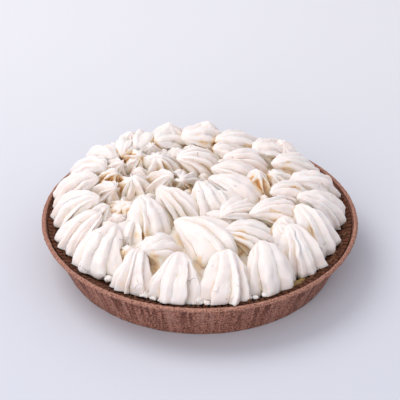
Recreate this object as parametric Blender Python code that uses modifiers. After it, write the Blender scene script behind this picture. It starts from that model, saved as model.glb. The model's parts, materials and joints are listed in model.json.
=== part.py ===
"""Lemon meringue pie, whole and uncut, in the baking mould that it was made in.

Metres, +Z up. The origin is the middle of the mould's underside, on the table, and -Y is the front.
Four solids lie in each other, each with a fine gap to the next: the paper mould with its rolled rim,
the pastry crust that lines it, the lemon filling, and the meringue, whose piped swirls are one body.
"""
import math
import random

import bmesh
import bpy
from mathutils import Vector

MM = 0.001
GAP = 0.3 * MM
WELD = 0.01 * MM

# The paper mould
RIM_RADIUS = 125.0 * MM
RIM_HEIGHT = 36.3 * MM
BASE_RADIUS = 106.8 * MM
BEAD_RADIUS = 1.75 * MM
PAPER = 1.3 * MM
PLEATS = 60
PLEAT_DEPTH = 0.5 * MM
STEPS_PER_PLEAT = 2
BEAD_POINTS = 4
BEAD_START = 200
BEAD_SWEEP = 230

# The wall leans out by this much for each unit of height, and ends just under the bead's middle
BEAD_CENTRE = RIM_RADIUS - BEAD_RADIUS
BEAD_HEIGHT = RIM_HEIGHT - BEAD_RADIUS
WALL_TOP = BEAD_HEIGHT - 1.2 * MM
WALL_LEAN = (BEAD_CENTRE - BASE_RADIUS) / RIM_HEIGHT

# The pastry crust, measured inwards from the mould's wall: its top slopes down to its inner lip
CRUST_INSET = PAPER + PLEAT_DEPTH + GAP
CRUST_TOP = RIM_HEIGHT - 1.6 * MM
CRUST_DROP = 2.4 * MM
CRUST_LIP = 6.6 * MM
CRUST_BOTTOM = PAPER + GAP
CRUST_FLOOR = 4.5 * MM
CRUST_SIDE = 12.0 * MM
CRUST_STEPS = 52
CRAG = 0.6 * MM

# The lemon filling, level with the foot of the crust's lip
FILLING_TOP = RIM_HEIGHT - 10.0 * MM
FILLING_INSET = CRUST_INSET + CRUST_SIDE + 2 * GAP
FILLING_EDGE = 1.5 * MM
FILLING_STEPS = 48

# The meringue's bed, and the level that the swirls are piped at
PIPING_LEVEL = RIM_HEIGHT - 1.8 * MM
BED_FLOOR = FILLING_TOP + GAP
BED_RADIUS = 103.0 * MM
BED_SHORT = 7.0 * MM
BED_SHORT_BEARING = 328
BED_EDGE = BED_FLOOR + 4.0 * MM
BED_SHOULDER = (84.0 * MM, PIPING_LEVEL + 7.0 * MM)
BED_MIDDLE = PIPING_LEVEL + 12.0 * MM
BED_STEPS = 24
ROOM_STEPS = 48
ROOM_TOP = RIM_HEIGHT + 60.0 * MM

# A swirl: how far it reaches under its head, how it bends, how much wider than tall it is, and how
# deep its creases are
STEPS_PER_LOBE = 2
UNDERSIDE = 13.0 * MM
PLUMP = 0.54
BOW = 0.06
RISE = 0.7
SWAY = 4.0 * MM
SWEEP = 0.5
BROAD = 1.1
TALL = 0.92
CREASE = 0.22

# A swirl's outline: where it is widest along its length, how much it tapers from there, how late it
# then falls off, and how blunt it ends
SHELL_OUTLINE = (0.20, 0.53, 6.0, 0.5)
SWIRL_OUTLINE = (0.28, 0.0, 1.3, 0.72)
HEAD_ROUNDING = 0.55

# Rim shells, piped from the rim inwards: where the fat head sits and where the tail ends, each as
# a bearing in degrees and a distance from the middle in mm, then the width and the head's lift in mm
RIM_SHELLS = [
    (241, 103, 238, 83, 29, 0), (260, 102, 258, 76, 39, 0), (281, 102, 283, 76, 39, 0),
    (301, 101, 306, 78, 39, 0), (321, 98, 330, 79, 38, 0), (340, 98, 350, 76, 36, 0),
    (3, 101, 359, 76, 36, 1), (21, 102, 18, 75, 36, 2), (37, 103, 40, 76, 34, 4),
    (53, 104, 58, 80, 36, 3), (67, 104, 82, 86, 36, 1), (83, 104, 100, 88, 37, 0),
    (99, 104, 116, 88, 37, 1), (113, 105, 128, 86, 35, 5), (127, 105, 138, 86, 33, 9),
    (140, 106, 143, 86, 31, 11), (153, 106, 153, 86, 32, 9), (167, 106, 164, 84, 34, 7),
    (181, 102, 184, 79, 37, 0), (198, 102, 198, 80, 36, 0), (220, 100, 212, 74, 42, 0),
]
SHELL_HEAD_TOP = 0.5 * MM
SHELL_TAIL_TOP = 19.5 * MM
SHELL_TAIL_SHARE = 0.2
SHELL_TAIL_SPREAD = 1.5 * MM
SHELL_LOBES = 7
SHELL_RINGS = 7

# Swirls on top: the head's place and the tail's place in mm, the width in mm, and the tail's
# height above the piping level in mm
TOP_SWIRLS = [
    (14, -62, -20, -38, 44, 22), (-27, -62, -43, -76, 33, 20), (46, -46, 17, -54, 35, 23),
    (38, -14, 16, -36, 34, 24), (68, -13, 38, -29, 33, 23), (77, 11, 55, 2, 30, 23),
    (63, 32, 57, 26, 31, 24), (46, 21, 47, 22, 25, 30), (42, 56, 18, 49, 33, 24),
    (34, 38, 8, 33, 32, 25), (4, 56, -20, 51, 33, 24), (-33, 53, -35, 50, 32, 26),
    (-31, 30, -22, 20, 31, 25), (-11, 31, -15, 14, 28, 25), (-54, 26, -55, 25, 35, 22),
    (-60, -6, -61, -8, 35, 17), (-36, -33, -47, -7, 36, 25), (-12, -16, -33, 6, 36, 25),
    (8, -11, -1, 13, 35, 26), (38, 11, 6, 18, 36, 25), (-77, 14, -67, 9, 29, 20),
    (-73, 37, -66, 32, 27, 21), (-52, 62, -48, 55, 31, 23), (-70, 51, -62, 45, 28, 22),
    (66, -48, 58, -36, 28, 18), (21, 78, 10, 70, 29, 20), (7, 100, 6, 99, 25, 28),
    (-25, 98, -25, 97, 25, 28), (-58, 86, -57, 85, 25, 27), (70, 78, 69, 77, 24, 23),
    (-78, -14, -71, -12, 29, 16), (-54, -42, -50, -30, 32, 16), (1, -62, 4, -56, 30, 16),
    (66, -34, 60, -28, 29, 18), (-34, -58, -30, -50, 29, 16), (-44, 78, -40, 70, 26, 22),
    (22, -2, 14, 4, 26, 24), (16, -34, 6, -28, 28, 22),
]
SWIRL_HEAD_TOP = 9.0 * MM
SWIRL_LOBES = 6
SWIRL_RINGS = 5

COLOURS = {
    "baking_mould": ((0.28, 0.15, 0.12), 0.85),
    "pastry_crust": ((0.10, 0.045, 0.02), 0.9),
    "lemon_filling": ((0.60, 0.36, 0.06), 0.5),
    "meringue": ((0.88, 0.84, 0.81), 0.7),
}


def clear_scene():
    for thing in list(bpy.data.objects):
        bpy.data.objects.remove(thing)


def new_collection(name):
    collection = bpy.data.collections.new(name)
    bpy.context.scene.collection.children.link(collection)
    return collection


def finish_of(name):
    colour, roughness = COLOURS[name]
    material = bpy.data.materials.new(name)
    material.use_nodes = True
    shader = material.node_tree.nodes["Principled BSDF"]
    shader.inputs["Base Color"].default_value = (*colour, 1.0)
    shader.inputs["Roughness"].default_value = roughness
    shader.inputs["Metallic"].default_value = 0.0
    return material


def add_mesh(name, mesh, collection):
    thing = bpy.data.objects.new(name, mesh)
    collection.objects.link(thing)
    return thing


def apply_modifiers(thing):
    """Makes what the modifiers show into the object's own mesh."""
    bpy.context.view_layer.update()
    shown = thing.evaluated_get(bpy.context.evaluated_depsgraph_get())
    mesh = bpy.data.meshes.new_from_object(shown)
    thing.modifiers.clear()
    thing.data = mesh


def weld(mesh):
    """Merges the points of a turned mesh that meet on its axis, and faces it outwards."""
    soup = bmesh.new()
    soup.from_mesh(mesh)
    bmesh.ops.remove_doubles(soup, verts=soup.verts, dist=WELD)
    bmesh.ops.recalc_face_normals(soup, faces=soup.faces)
    soup.to_mesh(mesh)
    soup.free()


def turned(name, profile, steps, collection):
    """A turned solid. The profile is (radius, height) from one point on the axis to the other."""
    soup = bmesh.new()
    points = [soup.verts.new((radius, 0, height)) for radius, height in profile]
    for first, second in zip(points, points[1:]):
        soup.edges.new((first, second))
    mesh = bpy.data.meshes.new(name)
    soup.to_mesh(mesh)
    soup.free()
    thing = add_mesh(name, mesh, collection)
    screw = thing.modifiers.new("turn", "SCREW")
    screw.steps = steps
    screw.render_steps = steps
    screw.use_merge_vertices = True
    screw.merge_threshold = WELD
    apply_modifiers(thing)
    weld(thing.data)
    return thing


def wall(height, inset):
    """The radius of the mould's outer wall at a height, less an inset."""
    return BASE_RADIUS + WALL_LEAN * height - inset


def make_mould(collection):
    bead = []
    for i in range(BEAD_POINTS):
        turn = math.radians(BEAD_START - BEAD_SWEEP * i / (BEAD_POINTS - 1))
        bead.append((BEAD_CENTRE + BEAD_RADIUS * math.cos(turn), BEAD_HEIGHT + BEAD_RADIUS * math.sin(turn)))
    profile = [
        (0, PAPER),
        (wall(PAPER, PAPER), PAPER),
        (wall(WALL_TOP, PAPER), WALL_TOP),
        *bead,
        (wall(WALL_TOP, 0), WALL_TOP),
        (BASE_RADIUS, 0),
        (0, 0),
    ]
    mould = turned("baking_mould", profile, PLEATS * STEPS_PER_PLEAT, collection)
    # The pleats press the wall inwards, least at the foot
    for vertex in mould.data.vertices:
        place = vertex.co
        radius = place.xy.length
        if radius < 0.9 * BASE_RADIUS or place.z > WALL_TOP + WELD:
            continue
        pressed = 0.5 + 0.5 * math.cos(PLEATS * math.atan2(place.y, place.x))
        depth = PLEAT_DEPTH * max(0.15, min(1.0, place.z / WALL_TOP))
        place.xy *= 1 - depth * pressed / radius
    return mould


def make_crust(collection):
    floor = CRUST_BOTTOM + CRUST_FLOOR
    middle = (CRUST_BOTTOM + CRUST_TOP) / 2
    lip_top = CRUST_TOP - CRUST_DROP
    profile = [
        (0, floor),
        (wall(floor, CRUST_INSET + CRUST_SIDE), floor),
        (wall(FILLING_TOP, CRUST_INSET + CRUST_SIDE), FILLING_TOP),
        (wall(CRUST_TOP, CRUST_INSET + CRUST_LIP), lip_top - CRAG),
        (wall(CRUST_TOP, CRUST_INSET + CRUST_LIP - CRAG), lip_top),
        (wall(CRUST_TOP, CRUST_INSET + CRAG), CRUST_TOP),
        (wall(middle, CRUST_INSET), middle),
        (wall(CRUST_BOTTOM, CRUST_INSET), CRUST_BOTTOM),
        (0, CRUST_BOTTOM),
    ]
    crust = turned("pastry_crust", profile, CRUST_STEPS, collection)
    chance = random.Random(5)
    for vertex in crust.data.vertices:
        if vertex.co.z > lip_top - CRAG - WELD:
            vertex.co.z -= chance.uniform(0, CRAG)
            vertex.co.xy *= 1 - chance.uniform(0, CRAG / 2) / vertex.co.xy.length
    return crust


def make_filling(collection):
    floor = CRUST_BOTTOM + CRUST_FLOOR + GAP
    profile = [
        (0, FILLING_TOP),
        (wall(FILLING_TOP, FILLING_INSET + 2 * FILLING_EDGE), FILLING_TOP),
        (wall(FILLING_TOP - FILLING_EDGE, FILLING_INSET), FILLING_TOP - FILLING_EDGE),
        (wall(floor, FILLING_INSET), floor),
        (0, floor),
    ]
    return turned("lemon_filling", profile, FILLING_STEPS, collection)


def share_of_width(u, outline):
    """A swirl's width at u along it, as a share of its greatest."""
    widest, taper, fall, blunt = outline
    if u < widest:
        return math.sin(math.pi / 2 * u / widest) ** HEAD_ROUNDING
    beyond = (u - widest) / (1 - widest)
    return (1 - taper * beyond) * (1 - beyond ** fall) ** blunt


def add_swirl(name, head, tail, width, lobes, rings, outline, sway, sweep, collection):
    """One piped swirl: a lobed bulb that rises from under its head and leans over to its tail.

    head is the middle of the fat end, and tail the tip. The rings of faces follow a curve from
    under the head, over it, to the tip. The creases between lobes run along that curve.
    """
    radius = PLUMP * width
    under = head - Vector((0, 0, UNDERSIDE))
    lean = Vector((tail.x - head.x, tail.y - head.y, 0))
    across = Vector((-lean.y, lean.x, 0)).normalized()
    over = head + BOW * lean + Vector((0, 0, RISE * (tail.z - head.z))) + across * sway
    soup = bmesh.new()
    bmesh.ops.create_uvsphere(soup, u_segments=lobes * STEPS_PER_LOBE, v_segments=rings, radius=1)
    for vertex in soup.verts:
        spot = vertex.co.copy()
        u = 1 - math.acos(max(-1.0, min(1.0, spot.z))) / math.pi
        turn = math.atan2(spot.y, spot.x) - math.pi / 2
        middle = under * (1 - u) ** 2 + over * 2 * u * (1 - u) + tail * u * u
        heading = ((over - under) * (1 - u) + (tail - over) * u).normalized()
        side = (across - heading * across.dot(heading)).normalized()
        up = heading.cross(side)
        crease = CREASE * (1 - abs(math.cos(lobes * turn / 2)))
        size = radius * share_of_width(u, outline) * (1 - crease)
        around = turn + sweep * u
        vertex.co = middle + (side * BROAD * math.cos(around) + up * TALL * math.sin(around)) * size
    mesh = bpy.data.meshes.new(name)
    soup.to_mesh(mesh)
    soup.free()
    return add_mesh(name, mesh, collection)


def polar(bearing, distance, height):
    turn = math.radians(bearing)
    return Vector((distance * MM * math.cos(turn), distance * MM * math.sin(turn), height))


def pipe_swirls(collection):
    """All swirls, each a little uneven in its height, its bend and how its ridges sweep round."""
    chance = random.Random(11)
    for i, (bearing, distance, tail_bearing, tail_distance, width, lift) in enumerate(RIM_SHELLS):
        head = polar(bearing, distance, PIPING_LEVEL + SHELL_HEAD_TOP + lift * MM)
        top = PIPING_LEVEL + SHELL_TAIL_TOP + SHELL_TAIL_SHARE * lift * MM
        top += chance.uniform(-SHELL_TAIL_SPREAD, SHELL_TAIL_SPREAD)
        tail = polar(tail_bearing, tail_distance, top)
        sway = chance.uniform(-SWAY, SWAY)
        sweep = chance.uniform(-SWEEP, SWEEP)
        add_swirl(f"shell_{i:02d}", head, tail, width * MM, SHELL_LOBES, SHELL_RINGS,
                  SHELL_OUTLINE, sway, sweep, collection)
    for i, (x, y, tail_x, tail_y, width, top) in enumerate(TOP_SWIRLS):
        head = Vector((x * MM, y * MM, PIPING_LEVEL + SWIRL_HEAD_TOP))
        tail = Vector((tail_x * MM, tail_y * MM, PIPING_LEVEL + top * MM))
        sway = chance.uniform(-SWAY, SWAY)
        sweep = chance.uniform(-SWEEP, SWEEP)
        add_swirl(f"swirl_{i:02d}", head, tail, width * MM, SWIRL_LOBES, SWIRL_RINGS,
                  SWIRL_OUTLINE, sway, sweep, collection)


def combine(thing, operation, cutter=None, group=None):
    boolean = thing.modifiers.new(operation.lower(), "BOOLEAN")
    boolean.operation = operation
    boolean.solver = "MANIFOLD"
    if group:
        boolean.operand_type = "COLLECTION"
        boolean.collection = group
    else:
        boolean.object = cutter
    apply_modifiers(thing)


def keep_largest(thing):
    """Drops loose scraps, which an uneven cut can leave."""
    soup = bmesh.new()
    soup.from_mesh(thing.data)
    left = set(soup.verts)
    bodies = []
    while left:
        body = {left.pop()}
        edge = list(body)
        while edge:
            for link in edge.pop().link_edges:
                for vertex in link.verts:
                    if vertex in left:
                        left.remove(vertex)
                        body.add(vertex)
                        edge.append(vertex)
        bodies.append(body)
    bodies.sort(key=len)
    for body in bodies[:-1]:
        bmesh.ops.delete(soup, geom=list(body), context="VERTS")
    bmesh.ops.triangulate(soup, faces=soup.faces)
    soup.to_mesh(thing.data)
    soup.free()


def make_room(cutters):
    """The space that the meringue may fill: clear of the filling, the crust and the rim."""
    rim_side = BEAD_CENTRE - BEAD_RADIUS - GAP
    profile = [
        (0, ROOM_TOP),
        (RIM_RADIUS - 1 * MM, ROOM_TOP),
        (RIM_RADIUS - 1 * MM, RIM_HEIGHT + 2 * MM),
        (rim_side, RIM_HEIGHT - 0.3 * MM),
        (wall(CRUST_TOP, CRUST_INSET + CRAG), CRUST_TOP + GAP),
        (wall(CRUST_TOP, CRUST_INSET + CRUST_LIP), CRUST_TOP - CRUST_DROP + GAP),
        (wall(FILLING_TOP, FILLING_INSET + CRAG), BED_FLOOR + CRAG),
        (wall(FILLING_TOP, FILLING_INSET + CRAG), BED_FLOOR),
        (0, BED_FLOOR),
    ]
    room = turned("room_for_meringue", profile, ROOM_STEPS, cutters)
    room.hide_render = True
    room.display_type = "WIRE"
    return room


def make_meringue(collection, cutters):
    bed_profile = [
        (0, BED_MIDDLE),
        (BED_SHOULDER[0] / 2, (BED_MIDDLE + BED_SHOULDER[1]) / 2 + 1 * MM),
        BED_SHOULDER,
        (BED_RADIUS, BED_EDGE),
        (BED_RADIUS, BED_FLOOR),
        (0, BED_FLOOR),
    ]
    bed = turned("meringue", bed_profile, BED_STEPS, collection)
    for vertex in bed.data.vertices:
        if vertex.co.xy.length > BED_SHOULDER[0] + 1 * MM:
            bearing = math.atan2(vertex.co.y, vertex.co.x) - math.radians(BED_SHORT_BEARING)
            vertex.co.xy *= 1 - BED_SHORT * max(0.0, math.cos(bearing)) ** 4 / vertex.co.xy.length
    swirls = new_collection("swirls")
    pipe_swirls(swirls)
    combine(bed, "UNION", group=swirls)
    for swirl in list(swirls.objects):
        bpy.data.objects.remove(swirl)
    bpy.data.collections.remove(swirls)
    combine(bed, "INTERSECT", cutter=make_room(cutters))
    keep_largest(bed)
    return bed


def main():
    clear_scene()
    parts = new_collection("lemon_meringue_pie")
    cutters = new_collection("cutters")
    pieces = [make_mould(parts), make_crust(parts), make_filling(parts), make_meringue(parts, cutters)]
    for piece in pieces:
        piece.data.materials.clear()
        piece.data.materials.append(finish_of(piece.name))
        piece.data.shade_smooth()
        piece.data.set_sharp_from_angle(angle=math.radians(35))


main()
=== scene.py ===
import json
import math

import bmesh
import bpy
import numpy as np
from mathutils import Matrix, Vector, noise
from mathutils.bvhtree import BVHTree

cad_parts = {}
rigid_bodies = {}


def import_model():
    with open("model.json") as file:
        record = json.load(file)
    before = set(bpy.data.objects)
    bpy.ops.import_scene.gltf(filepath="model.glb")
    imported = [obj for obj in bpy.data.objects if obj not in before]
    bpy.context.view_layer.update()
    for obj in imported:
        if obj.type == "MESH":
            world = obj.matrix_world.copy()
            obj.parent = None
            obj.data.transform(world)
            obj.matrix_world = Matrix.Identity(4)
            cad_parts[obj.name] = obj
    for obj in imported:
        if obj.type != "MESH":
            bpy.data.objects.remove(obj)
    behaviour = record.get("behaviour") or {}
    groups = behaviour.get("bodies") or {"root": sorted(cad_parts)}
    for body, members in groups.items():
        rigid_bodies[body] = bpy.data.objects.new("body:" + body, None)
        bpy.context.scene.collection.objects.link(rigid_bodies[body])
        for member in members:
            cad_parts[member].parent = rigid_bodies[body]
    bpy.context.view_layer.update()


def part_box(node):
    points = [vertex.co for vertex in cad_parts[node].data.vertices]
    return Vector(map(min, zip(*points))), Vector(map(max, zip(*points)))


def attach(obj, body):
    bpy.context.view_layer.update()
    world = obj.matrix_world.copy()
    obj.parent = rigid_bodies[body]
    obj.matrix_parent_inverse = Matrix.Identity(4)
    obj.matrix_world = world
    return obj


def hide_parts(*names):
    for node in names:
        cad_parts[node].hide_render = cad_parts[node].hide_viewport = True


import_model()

# The baking mould
# A round case of brown pulp board, pressed with upright pleats and rolled over into a bead at its
# rim. It is sold as a disposable mould: the pie is baked, carried and served in it.
MM = 0.001
rim_height = 36.3 * MM
rim_radius = 125.0 * MM
base_radius = 106.8 * MM
bead_radius = 1.75 * MM
board = 1.3 * MM
pleats = 60
pleat_depth = 0.5 * MM
columns_per_pleat = 10
bead_centre = rim_radius - bead_radius
wall_lean = (bead_centre - base_radius) / rim_height


def wall_radius(height, inset):
    return base_radius + wall_lean * height - inset


def arc(centre, radius, first, last, count):
    """Points (radius from the axis, height) along an arc, angles in degrees."""
    turns = np.radians(np.linspace(first, last, count))
    return [(centre[0] + radius * math.cos(t), centre[1] + radius * math.sin(t)) for t in turns]


def line(first, last, count):
    """Points from first to last, without the last."""
    return [tuple(np.array(first) + (np.array(last) - np.array(first)) * i / count) for i in range(count)]


def turned_rows(profile, columns):
    """A profile turned round the axis, as an array of rows of points."""
    turns = np.linspace(0, 2 * math.pi, columns, endpoint=False)
    profile = np.array(profile)
    return np.stack([
        profile[:, :1] * np.cos(turns),
        profile[:, :1] * np.sin(turns),
        np.repeat(profile[:, 1:], columns, axis=1),
    ], axis=2)


def closed_mesh(name, rows):
    """A closed mesh from rows of points whose first and last rows are each one point."""
    count, columns = rows.shape[:2]
    points = [rows[0, 0], *rows[1:-1].reshape(-1, 3), rows[-1, 0]]
    last = len(points) - 1
    faces = []
    for c in range(columns):
        after = (c + 1) % columns
        faces.append((0, 1 + c, 1 + after))
        for r in range(count - 3):
            here = 1 + r * columns
            faces.append((here + c, here + columns + c, here + columns + after, here + after))
        low = 1 + (count - 3) * columns
        faces.append((low + c, last, low + after))
    mesh = bpy.data.meshes.new(name)
    mesh.from_pydata([tuple(p) for p in points], [], faces)
    soup = bmesh.new()
    soup.from_mesh(mesh)
    bmesh.ops.recalc_face_normals(soup, faces=soup.faces)
    soup.to_mesh(mesh)
    soup.free()
    return mesh


def add_piece(name, mesh, smooth=40):
    piece = bpy.data.objects.new(name, mesh)
    bpy.context.scene.collection.objects.link(piece)
    mesh.shade_smooth()
    mesh.set_sharp_from_angle(angle=math.radians(smooth))
    return piece


def wave_noise(places, size, seed, count=14):
    """Soft uneven values about 0 over an array of places, from waves about size long."""
    chance = np.random.default_rng(seed)
    total = np.zeros(places.shape[:-1])
    for _ in range(count):
        way = chance.normal(size=3)
        way /= np.linalg.norm(way)
        length = size * chance.uniform(0.7, 1.6)
        total += np.sin(places @ way * 2 * math.pi / length + chance.uniform(0, 2 * math.pi))
    return total / math.sqrt(count)


bead_height = rim_height - bead_radius
under_bead = bead_height - 1.2 * MM
base_round = 1.2 * MM
floor_edge = (wall_radius(board, board) - 1.5 * MM, board)
wall_foot = (wall_radius(board + 1 * MM, board), board + 1 * MM)
mould_rows = turned_rows([
    (0, board),
    *line((20 * MM, board), floor_edge, 5),
    *line(floor_edge, wall_foot, 2),
    *line(wall_foot, (wall_radius(under_bead, board), under_bead), 16),
    *arc((bead_centre, bead_height), bead_radius, 205, -35, 15),
    *line((wall_radius(under_bead, 0), under_bead), (wall_radius(base_round, 0), base_round), 22),
    (wall_radius(base_round, 0), base_round),
    (wall_radius(0.35 * base_round, 0), 0.35 * base_round),
    (base_radius - base_round, 0),
    *line((base_radius - 3 * MM, 0), (10 * MM, 0), 4),
    (0, 0),
], pleats * columns_per_pleat)

# The pleats are uneven and fade out at the bead, the floor and the foot of the wall
bead_fade = 2.5 * MM
floor_fade = 5 * MM
foot_fade = 14 * MM
rib_height = 0.10 * MM
dent_depth = 0.12 * MM
rim_waver = 0.10 * MM
bearing = np.arctan2(mould_rows[..., 1], mould_rows[..., 0])
radius = np.hypot(mould_rows[..., 0], mould_rows[..., 1])
height = mould_rows[..., 2]
pleated = np.clip((under_bead + 0.6 * MM - height) / bead_fade, 0, 1)
pleated *= np.clip((radius - base_radius + 6 * MM) / floor_fade, 0, 1)
pleated *= np.clip(height / foot_fade, 0.15, 1)
uneven = 1 + 0.25 * wave_noise(mould_rows, 16 * MM, 3)
pressed = (0.5 + 0.5 * np.cos(pleats * bearing + 0.25 * wave_noise(mould_rows, 30 * MM, 4))) ** 0.8
shift = -pleat_depth * pressed * uneven * pleated
shift += np.where(height > under_bead, rib_height * np.cos(2 * pleats * bearing), 0)
shift += dent_depth * wave_noise(mould_rows, 9 * MM, 6) * (radius > 0.9 * base_radius)
scale = np.where(radius > 1 * MM, 1 + shift / np.maximum(radius, 1 * MM), 1)
mould_rows[..., :2] *= scale[..., None]
mould_rows[..., 2] += np.where(height > 1.5 * MM, rim_waver * wave_noise(mould_rows, 26 * MM, 7), 0)
baking_mould = add_piece("baking_mould_board", closed_mesh("baking_mould_board", mould_rows))


def material_named(name):
    """A new material, with its node tree and its Principled shader."""
    material = bpy.data.materials.new(name)
    material.use_nodes = True
    tree = material.node_tree
    return material, tree, tree.nodes["Principled BSDF"]


def node(tree, kind, values=(), **settings):
    """Adds a node, sets its properties, and sets or links its inputs by name or number."""
    made = tree.nodes.new(kind)
    for key, value in settings.items():
        setattr(made, key, value)
    for key, value in dict(values).items():
        if isinstance(value, bpy.types.NodeSocket):
            tree.links.new(value, made.inputs[key])
        else:
            made.inputs[key].default_value = value
    return made


def math_node(tree, operation, *inputs, clamp=False):
    made = node(tree, "ShaderNodeMath", dict(enumerate(inputs)), operation=operation, use_clamp=clamp)
    return made.outputs[0]


def times(tree, first, second):
    return math_node(tree, "MULTIPLY", first, second)


def vector_node(tree, operation, *inputs):
    return node(tree, "ShaderNodeVectorMath", dict(enumerate(inputs)), operation=operation).outputs


def cloud_noise(tree, place, scale, detail):
    """Uneven values about 0.5, as a value and as a colour, with scale waves to the metre."""
    made = node(tree, "ShaderNodeTexNoise", {"Vector": place, "Scale": scale, "Detail": detail})
    return made.outputs


def between(tree, value, low, high, to_low=0.0, to_high=1.0):
    """A smooth step of value from low to high."""
    made = node(tree, "ShaderNodeMapRange", {
        "Value": value, "From Min": low, "From Max": high, "To Min": to_low, "To Max": to_high,
    }, interpolation_type="SMOOTHSTEP")
    return made.outputs[0]


def mix(tree, amount, first, second):
    made = tree.nodes.new("ShaderNodeMix")
    made.data_type = "RGBA"
    for slot_number, value in ((0, amount), (6, first), (7, second)):
        if isinstance(value, bpy.types.NodeSocket):
            tree.links.new(value, made.inputs[slot_number])
        elif slot_number:
            made.inputs[slot_number].default_value = (*value, 1.0)
        else:
            made.inputs[slot_number].default_value = value
    return made.outputs[2]


def place_of(tree):
    return node(tree, "ShaderNodeTexCoord").outputs["Object"]


def set_surface(tree, shader, colour, roughness, relief, strength, depth, gloss):
    """Puts colour, roughness, relief and gloss on a material's shader."""
    bump = node(tree, "ShaderNodeBump", {"Height": relief, "Strength": strength, "Distance": depth})
    for socket, value in (("Base Color", colour), ("Roughness", roughness), ("Normal", bump.outputs[0])):
        tree.links.new(value, shader.inputs[socket])
    shader.inputs["Specular IOR Level"].default_value = gloss


def new_effect(name, numbers, masks):
    """An effect for more than one material: it takes a place and numbers, and puts out masks."""
    group = bpy.data.node_groups.new(name, "ShaderNodeTree")
    face = group.interface
    face.new_socket("Place", in_out="INPUT", socket_type="NodeSocketVector")
    for label, usual in numbers.items():
        face.new_socket(label, in_out="INPUT", socket_type="NodeSocketFloat").default_value = usual
    for label in masks:
        face.new_socket(label, in_out="OUTPUT", socket_type="NodeSocketFloat")
    given = group.nodes.new("NodeGroupInput")
    put_out = group.nodes.new("NodeGroupOutput")
    return group, given.outputs, put_out.inputs


def mottle_group():
    """Flecks and soft patches, as pulp board and baked dough have: a fine and a broad mask."""
    sizes = {"Fleck size": 1.0, "Patch size": 8.0}
    group, given, put_out = new_effect("mottle", sizes, ("Flecks", "Patches"))
    for size, result, detail in (("Fleck size", "Flecks", 6.0), ("Patch size", "Patches", 3.0)):
        per_metre = math_node(group, "DIVIDE", 1000.0, given[size])
        made = node(group, "ShaderNodeTexNoise", {
            "Vector": given["Place"], "Scale": per_metre, "Detail": detail, "Roughness": 0.65,
        })
        group.links.new(between(group, made.outputs[0], 0.3, 0.7), put_out[result])
    return group


mottle = mottle_group()


def add_mottle(tree, place, fleck, patch):
    made = node(tree, "ShaderNodeGroup", {
        "Place": place, "Fleck size": fleck, "Patch size": patch,
    }, node_tree=mottle)
    return made.outputs["Flecks"], made.outputs["Patches"]


def round_lines_group():
    """Upright lines spaced round the pie's axis, as pleats make: 0 between them and 1 on them."""
    numbers = {"Count": 120.0, "Thinness": 0.8, "Waver": 1.0}
    group, given, put_out = new_effect("round_lines", numbers, ("Lines",))
    parts = node(group, "ShaderNodeSeparateXYZ", {0: given["Place"]})
    bearing = math_node(group, "ARCTAN2", parts.outputs[1], parts.outputs[0])
    drift = math_node(group, "SUBTRACT", cloud_noise(group, given["Place"], 60.0, 2.0)[0], 0.5)
    drift = times(group, times(group, drift, given["Waver"]), 6.0)
    phase = math_node(group, "MULTIPLY_ADD", bearing, given["Count"], drift)
    wave = math_node(group, "MULTIPLY_ADD", math_node(group, "COSINE", phase), 0.5, 0.5)
    group.links.new(between(group, wave, given["Thinness"], 1.0), put_out["Lines"])
    return group


round_lines = round_lines_group()


def add_round_lines(tree, place, count, thinness, waver):
    made = node(tree, "ShaderNodeGroup", {
        "Place": place, "Count": count, "Thinness": thinness, "Waver": waver,
    }, node_tree=round_lines)
    return made.outputs["Lines"]


# The board's colours, each pair from the darkest to the lightest of its flecks, and the number of
# ribs round the rim and of pleats seen on the inside
board_tones = ((0.095, 0.031, 0.019), (0.50, 0.222, 0.153))
fibre_and_shade_tones = ((0.045, 0.011, 0.007), (0.18, 0.055, 0.034))
lit_rim_tones = ((0.20, 0.080, 0.053), (0.48, 0.236, 0.168))
stain_and_shade_tones = ((0.085, 0.028, 0.013), (0.20, 0.078, 0.042))
pale_fibre = (0.42, 0.225, 0.175)
worn_patch = (0.24, 0.125, 0.11)
rib_tone = (0.47, 0.28, 0.23)
rim_shadow_tone = (0.11, 0.042, 0.028)
pleat_shade_tone = (0.016, 0.005, 0.003)
rim_ribs = 360.0
inner_pleats = 150.0


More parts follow.
